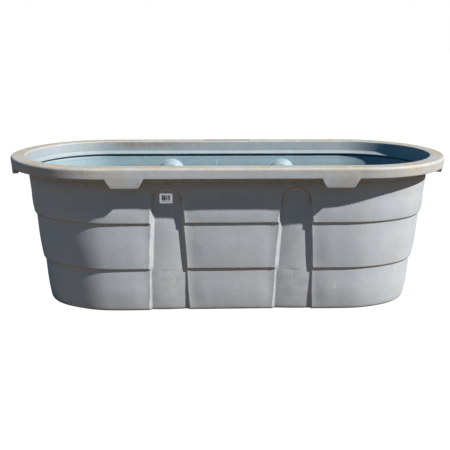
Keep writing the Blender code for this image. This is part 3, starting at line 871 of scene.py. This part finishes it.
def make_plug():
    """The screw plug: threaded shank, flange, hose spigot and two wings, with a hole right through."""
    low = drain_span("drain_plug")[0]
    high = drain_span("hose_cap_washer")[0] - SEAL_GAP
    flange = drain_span("plug_gasket")[1] + SEAL_GAP
    shoulder = flange + 0.005
    root, spigot = PLUG_THREAD.root, HOSE_THREAD.root

    def threaded(turn, radius, height, tag):
        thread = PLUG_THREAD if tag == "shank" else HOSE_THREAD
        return radius + thread.ridge(turn, height)

    profile = [(HOLE + 0.0005, high), (spigot - 0.0005, high)]
    profile += [(spigot, z, "spigot") for z in between(high - 0.0005, shoulder + 0.0016, 0.0003)]
    profile += [(spigot + 0.0004, shoulder + 0.0007), (spigot + 0.0015, shoulder + 0.0001)]
    disc = rounded_loop([(0.02, shoulder), (0.0265, shoulder), (0.0265, flange), (0.02, flange)], 0.0011)
    # Only the disc's two outer corners are needed.
    profile += disc[4:12]
    profile += [(root + 0.0006, flange), (root, flange - 0.0006)]
    profile += [(root, z, "shank") for z in between(flange - 0.0012, low + 0.0008, 0.00045)]
    profile += [(root - 0.0006, low), (HOLE + 0.0005, low), (HOLE, low + 0.0005), (HOLE, high - 0.0005)]
    plug = turned_skin("screw_plug", profile, threaded)
    for side in (-1, 1):
        combine(plug, plug_wing(side, shoulder), "UNION", "MANIFOLD")
    return plug


def make_cap():
    """The cap on the spigot, with a ribbed grip outside and the hose thread inside."""
    low, high = drain_span("hose_cap")
    outer, bore, ceiling = 0.0172, HOSE_THREAD.root + CLEARANCE, high - 0.003

    def ribbed_or_threaded(turn, radius, height, tag):
        if tag == "grip":
            return radius + 0.0006 - 0.0011 * (1 - np.abs(np.cos(turn * 9)) ** 0.7)
        groove = HOSE_THREAD.ridge(turn, height, CLEARANCE * 0.8)
        return radius + np.maximum(groove, HOSE_THREAD.ridge(turn, height, CLEARANCE * 0.8, shift=-3))

    profile = [(0.0008, high - 0.0002), (0.006, high - 0.0002), (0.0085, high - 0.0001), (0.0100, high)]
    profile += [(outer - 0.0030, high), (outer - 0.0016, high - 0.0003), (outer - 0.0006, high - 0.0012)]
    profile += [(outer, z, "grip") for z in between(high - 0.0022, low + 0.0012, 0.0016)]
    profile += [(outer - 0.0006, low + 0.0003), (outer - 0.0014, low)]
    profile += [(bore + 0.0014, low), (bore + 0.0006, low + 0.0004, "thread")]
    profile += [(bore, z, "thread") for z in between(low + 0.0010, ceiling - 0.0025, 0.0003)]
    profile += [(bore, ceiling - 0.0015), (bore - 0.0004, ceiling), (0.006, ceiling), (0.0008, ceiling)]
    return turned_skin("spigot_cap", profile, ribbed_or_threaded, closed=False)


def make_drain():
    """The drain's pieces, by the CAD node that each stands for."""
    return {
        "drain_sleeve": make_sleeve(),
        "drain_locknut": make_nut(),
        "inner_gasket": make_seal("flange_gasket", "inner_gasket"),
        "outer_washer": make_seal("nut_washer", "outer_washer"),
        "plug_gasket": make_seal("plug_seal_ring", "plug_gasket"),
        "hose_cap_washer": make_seal("cap_washer", "hose_cap_washer"),
        "drain_plug": make_plug(),
        "hose_cap": make_cap(),
    }


# ---------------------------------------------------------------- materials


class Nodes:
    """A material's or world's node tree, with short names for what the looks use."""

    def __init__(self, owner):
        self.owner = owner
        owner.use_nodes = True
        self.tree = owner.node_tree

    def put(self, socket, value):
        if isinstance(value, bpy.types.NodeSocket):
            self.tree.links.new(value, socket)
        elif isinstance(value, (tuple, list)):
            socket.default_value = (*value, 1.0) if socket.type == "RGBA" else value
        else:
            socket.default_value = value

    def node(self, kind, inputs=None, **settings):
        made = self.tree.nodes.new(kind)
        for key, value in settings.items():
            setattr(made, key, value)
        for key, value in (inputs or {}).items():
            self.put(made.inputs[key], value)
        return made

    def noise(self, scale, detail=3.0, stretch=(1, 1, 1), rough=0.5, distortion=0.0):
        place = self.node("ShaderNodeTexCoord").outputs["Object"]
        place = self.node("ShaderNodeVectorMath", {0: place, 1: stretch}, operation="MULTIPLY").outputs[0]
        inputs = {"Vector": place, "Scale": scale, "Detail": detail, "Roughness": rough, "Distortion": distortion}
        return self.node("ShaderNodeTexNoise", inputs).outputs["Fac"]

    def range(self, value, low, high, to_low=0.0, to_high=1.0):
        inputs = {"Value": value, "From Min": low, "From Max": high, "To Min": to_low, "To Max": to_high}
        return self.node("ShaderNodeMapRange", inputs, clamp=True).outputs["Result"]

    def math(self, operation, a, b=0.0):
        return self.node("ShaderNodeMath", {0: a, 1: b}, operation=operation).outputs[0]

    def times(self, a, b):
        return self.math("MULTIPLY", a, b)

    def mix(self, share, a, b, blend="MIX"):
        made = self.node("ShaderNodeMix", data_type="RGBA", blend_type=blend)
        for index, value in ((0, share), (6, a), (7, b)):
            self.put(made.inputs[index], value)
        return made.outputs[2]

    def attribute(self, name):
        return self.node("ShaderNodeAttribute", attribute_name=name).outputs["Fac"]

    def facing_up(self):
        normal = self.node("ShaderNodeNewGeometry").outputs["Normal"]
        return self.node("ShaderNodeSeparateXYZ", {0: normal}).outputs["Z"]

    def chance(self, value, per_metre):
        """A random number for each cell of the value."""
        cell = self.math("FLOOR", self.times(self.math("ADD", value, 0.1), per_metre))
        return self.node("ShaderNodeTexWhiteNoise", {"W": cell}, noise_dimensions="1D").outputs["Value"]

    def within(self, value, middle, half):
        """1 where the value is less than half away from the middle, else 0."""
        return self.math("LESS_THAN", self.math("ABSOLUTE", self.math("SUBTRACT", value, middle)), half)

    def bump(self, height, strength, distance):
        inputs = {"Height": height, "Strength": strength, "Distance": distance}
        return self.node("ShaderNodeBump", inputs).outputs["Normal"]

    def by_ray(self, others, camera):
        """One shader for the camera's own rays, and another for the light that reaches the object."""
        ray = self.node("ShaderNodeLightPath").outputs["Is Camera Ray"]
        mixed = self.node("ShaderNodeMixShader", {0: ray, 1: others.outputs[0], 2: camera.outputs[0]})
        output = "World Output" if isinstance(self.owner, bpy.types.World) else "Material Output"
        self.put(self.tree.nodes[output].inputs["Surface"], mixed.outputs[0])

    def finish(self, **inputs):
        """Sets the principled shader's inputs and gives the material."""
        shader = self.tree.nodes["Principled BSDF"]
        for key, value in inputs.items():
            self.put(shader.inputs[key.replace("_", " ")], value)
        return self.owner


OUTSIDE_GREY = (0.330, 0.345, 0.352)
# Darker, bluer copies of the grey, painted inside the tub and the rim as the shade and the sky's blue tint there.
INSIDE_SHADE_GREY = (0.190, 0.268, 0.290)
RIM_INSIDE_SHADE_GREY = (0.226, 0.262, 0.270)
WORN_GREY = (0.50, 0.50, 0.48)
FILM = (0.40, 0.370, 0.32)
# Mud colour: real mud, and also painted shade in creases, recesses and under overhangs.
MUD_AND_SHADE = (0.145, 0.105, 0.070)
DUST = (0.345, 0.262, 0.150)
CRUMBS = (0.150, 0.120, 0.085)
PALE_DUST = (0.46, 0.42, 0.34)
SPLASH = (0.30, 0.265, 0.205)
PALE_FLECK = (0.72, 0.69, 0.62)
DARK_FLECK = (0.07, 0.055, 0.045)
SCRATCH = (0.60, 0.60, 0.58)


def mottled(n, inside_shade_grey, mottle, grain):
    """Grey, with a darker, bluer copy painted inside as the shade and the sky's blue there, that varies in blotches,
    mottling, streaks and grain.
    """
    grey = n.mix(n.attribute("inside"), OUTSIDE_GREY, inside_shade_grey)
    blotch = n.range(n.noise(3.2, 4.0), 0.3, 0.7, -0.045, 0.045)
    streak = n.range(n.noise(5.0, 4.0, stretch=(9, 9, 1.0), rough=0.6), 0.35, 0.65, -0.012, 0.012)
    shade = n.math("ADD", blotch, n.range(mottle, 0.3, 0.7, -0.035, 0.035))
    shade = n.math("ADD", shade, streak)
    shade = n.math("ADD", shade, n.range(grain, 0.3, 0.7, -0.020, 0.020))
    shade = n.math("ADD", shade, 1.0)
    shade = n.node("ShaderNodeCombineColor", {0: shade, 1: shade, 2: shade}).outputs[0]
    return n.mix(1.0, grey, shade, "MULTIPLY")


def soiled(n, colour, mottle):
    """Worn edges, a pale film that is thinner inside, and mud colour where the mask of soiling and painted shade is:
    real mud in some places, painted shade in others.
    """
    worn = n.times(n.attribute("edge"), n.range(mottle, 0.42, 0.62, 0.0, 0.45))
    colour = n.mix(worn, colour, WORN_GREY)
    film = n.times(n.range(n.noise(7.0, 6.0, rough=0.65), 0.46, 0.72), 0.30)
    film = n.times(film, n.range(n.attribute("inside"), 0, 1, 1.0, 0.4))
    colour = n.mix(film, colour, FILM)
    patches = n.range(n.noise(34.0, 5.0, rough=0.65), 0.30, 0.62, 0.35, 1.0)
    grime = n.times(n.attribute("grime"), patches)
    return n.mix(n.times(grime, 0.80), colour, MUD_AND_SHADE)


def dusted(n, colour):
    """Dust that lies on what faces up, with crumbs and pale spots in it, and dried splashes."""
    patches = n.range(n.noise(9.0, 7.0, rough=0.72), 0.36, 0.60, 0.30, 1.0)
    up = n.range(n.facing_up(), 0.0, 0.8, 0.6, 1.0)
    dust = n.times(n.times(n.attribute("dust"), patches), up)
    colour = n.mix(n.times(dust, 0.92), colour, DUST)
    crumbs = n.range(n.noise(160.0, 3.0, rough=0.7), 0.60, 0.70)
    colour = n.mix(n.times(crumbs, n.times(dust, 0.5)), colour, CRUMBS)
    pale = n.times(n.range(n.noise(38.0, 6.0, rough=0.7), 0.54, 0.66), dust)
    colour = n.mix(n.times(pale, 0.6), colour, PALE_DUST)
    splash = n.range(n.noise(24.0, 8.0, rough=0.75), 0.58, 0.70)
    return n.mix(n.times(splash, 0.40), colour, SPLASH)


def flecked(n, colour, scratch):
    """Pale flecks in groups, dark flecks and scratches."""
    pale = n.range(n.noise(230.0, 1.5), 0.735, 0.765)
    pale = n.times(pale, n.range(n.noise(14.0, 2.0), 0.50, 0.62))
    colour = n.mix(n.times(pale, 0.8), colour, PALE_FLECK)
    dark = n.range(n.noise(170.0, 1.0, stretch=(1.0, 1.0, 1.3)), 0.755, 0.785)
    colour = n.mix(n.times(dark, 0.7), colour, DARK_FLECK)
    return n.mix(n.times(scratch, 0.55), colour, SCRATCH)


def weathered(name, inside_shade_grey, dusty):
    """Weathered grey polyethylene."""
    n = Nodes(bpy.data.materials.new(name))
    mottle = n.noise(26.0, 5.0, rough=0.6)
    grain = n.noise(420.0, 2.0)
    scratch = n.range(n.noise(60.0, 2.0, stretch=(1.0, 1.0, 0.09), distortion=0.6), 0.742, 0.760)
    scratch = n.times(scratch, n.range(n.noise(6.0, 2.0), 0.54, 0.62))
    colour = soiled(n, mottled(n, inside_shade_grey, mottle, grain), mottle)
    if dusty:
        colour = dusted(n, colour)
    relief = n.math("ADD", n.noise(95.0, 3.0), n.times(grain, 0.25))
    relief = n.math("SUBTRACT", relief, n.times(scratch, 0.5))
    return n.finish(
        Base_Color=flecked(n, colour, scratch),
        Roughness=n.range(mottle, 0.3, 0.7, 0.50, 0.64),
        Specular_IOR_Level=0.35,
        Normal=n.bump(relief, 0.35, 0.0011),
    )


def nylon():
    """Worn black nylon with dried silt on it."""
    n = Nodes(bpy.data.materials.new("worn_black_nylon"))
    wear = n.range(n.noise(90.0, 5.0, rough=0.65), 0.48, 0.72)
    colour = n.mix(wear, (0.022, 0.022, 0.024), (0.075, 0.072, 0.068))
    silt = n.range(n.noise(40.0, 6.0, rough=0.7), 0.50, 0.66, 0.0, 0.45)
    return n.finish(
        Base_Color=n.mix(silt, colour, (0.20, 0.155, 0.105)),
        Roughness=n.range(wear, 0, 1, 0.38, 0.62),
        Specular_IOR_Level=0.45,
        Normal=n.bump(n.noise(700.0, 2.0), 0.25, 0.0004),
    )


def rubber():
    """Black rubber with a grey bloom."""
    n = Nodes(bpy.data.materials.new("seal_rubber"))
    bloom = n.range(n.noise(120.0, 5.0, rough=0.7), 0.42, 0.70)
    return n.finish(
        Base_Color=n.mix(bloom, (0.012, 0.012, 0.012), (0.055, 0.052, 0.048)),
        Roughness=n.range(bloom, 0, 1, 0.62, 0.85),
        Specular_IOR_Level=0.3,
        Normal=n.bump(n.noise(900.0, 2.0), 0.3, 0.0003),
    )


def printed_vinyl():
    """White vinyl with a dark block of random plain bars, faded and dusty. A little of its own light stands in
    for how bright white vinyl is against the grey."""
    n = Nodes(bpy.data.materials.new("printed_vinyl"))
    x, z = n.attribute("print_x"), n.attribute("print_z")
    block = n.times(n.within(x, 0.0, 0.0165), n.within(z, 0.0, 0.0125))
    bars = n.math("LESS_THAN", n.chance(x, 1100.0), 0.80)
    ink = n.times(block, n.math("MAXIMUM", bars, n.within(x, -0.0125, 0.0030)))
    ink = n.times(ink, n.math("GREATER_THAN", n.chance(z, 420.0), 0.12))
    faded = n.range(n.noise(260.0, 4.0), 0.35, 0.65, 0.82, 1.0)
    colour = n.mix(n.times(ink, faded), (0.78, 0.79, 0.80), (0.035, 0.04, 0.05))
    dust = n.range(n.noise(110.0, 6.0, rough=0.7), 0.46, 0.70, 0.0, 0.35)
    colour = n.mix(dust, colour, (0.48, 0.43, 0.36))
    return n.finish(
        Base_Color=colour,
        Roughness=0.42,
        Specular_IOR_Level=0.45,
        Normal=n.bump(n.noise(300.0, 3.0), 0.15, 0.0003),
        Emission_Color=colour,
        Emission_Strength=0.30,
    )


# ---------------------------------------------------------------- stage

WHITE = (1.0, 1.0, 1.0)
FLOOR_DROP = 0.0005
FLOOR_SHADE = (0.03, 0.03, 0.03)
FLOOR_BOUNCE = (0.20, 0.145, 0.095)
SKY_FILL = (0.04, 0.18, 0.36)
KEY_COLOUR = (0.985, 0.980, 0.985)
KEY_TRAVEL = (-0.683, 0.345, -0.644)
KEY_STRENGTH = 8.4
KEY_ANGLE = 1.2

CAMERA_PLACE = (-0.1258, -2.8294, 1.1097)
# Radians: to the right of straight back, below level, and round the line of sight.
CAMERA_PAN, CAMERA_TILT, CAMERA_ROLL = 0.0390, 0.2793, 0.0041
SENSOR_WIDTH = 36.0
FOCAL_LENGTH = 55.664


def make_floor():
    """A pale floor, nearly white to the camera, that throws a warm light back on the object."""
    bpy.ops.mesh.primitive_plane_add(size=60.0, location=(0, 0, -FLOOR_DROP))
    floor = bpy.context.object
    floor.name = "pale_floor"
    n = Nodes(bpy.data.materials.new("pale_floor"))
    shade = n.node("ShaderNodeBsdfDiffuse", {"Color": FLOOR_SHADE})
    glow = n.node("ShaderNodeEmission", {"Color": WHITE, "Strength": 1.0})
    seen = n.node("ShaderNodeAddShader", {0: shade.outputs[0], 1: glow.outputs[0]})
    n.by_ray(n.node("ShaderNodeBsdfDiffuse", {"Color": FLOOR_BOUNCE}), seen)
    floor.data.materials.append(n.owner)


def make_sky():
    """A cool fill on the object, and white behind it."""
    world = bpy.data.worlds.new("fill")
    bpy.context.scene.world = world
    n = Nodes(world)
    fill = n.tree.nodes["Background"]
    n.put(fill.inputs["Color"], SKY_FILL)
    n.put(fill.inputs["Strength"], 1.0)
    n.by_ray(fill, n.node("ShaderNodeBackground", {"Color": WHITE, "Strength": 1.0}))


def make_key():
    """The key light, from high on the right in front, with shadows as crisp as the sun's."""
    key = bpy.data.lights.new("key", "SUN")
    key.energy = KEY_STRENGTH
    key.angle = math.radians(KEY_ANGLE)
    key.color = KEY_COLOUR
    obj = bpy.data.objects.new("key", key)
    bpy.context.scene.collection.objects.link(obj)
    obj.rotation_euler = Vector(KEY_TRAVEL).to_track_quat("-Z", "Y").to_euler()


def make_camera():
    """A camera in front of the trough, above the rim."""
    camera = bpy.data.cameras.new("camera")
    camera.sensor_width = SENSOR_WIDTH
    camera.lens = FOCAL_LENGTH
    obj = bpy.data.objects.new("camera", camera)
    bpy.context.scene.collection.objects.link(obj)
    turn = Matrix.Rotation(-CAMERA_PAN, 4, "Z") @ Matrix.Rotation(math.pi / 2 - CAMERA_TILT, 4, "X")
    turn = turn @ Matrix.Rotation(CAMERA_ROLL, 4, "Z")
    obj.matrix_world = Matrix.Translation(CAMERA_PLACE) @ turn
    bpy.context.scene.camera = obj
    bpy.context.scene.view_settings.view_transform = "Standard"


def main():
    black, seal = nylon(), rubber()
    stand_in(make_tub(), "tub_shell", weathered("tub_polyethylene", INSIDE_SHADE_GREY, dusty=False))
    stand_in(make_rim(), "rim_ring", weathered("rim_polyethylene", RIM_INSIDE_SHADE_GREY, dusty=True))
    stand_in(make_sticker(), "stock_label", printed_vinyl())
    for node, piece in make_drain().items():
        if node in SEAL_BORES:
            stand_in(piece, node, seal)
        else:
            piece.data.set_sharp_from_angle(angle=math.radians(38))
            stand_in(piece, node, black)
    make_floor()
    make_sky()
    make_key()
    make_camera()


main()
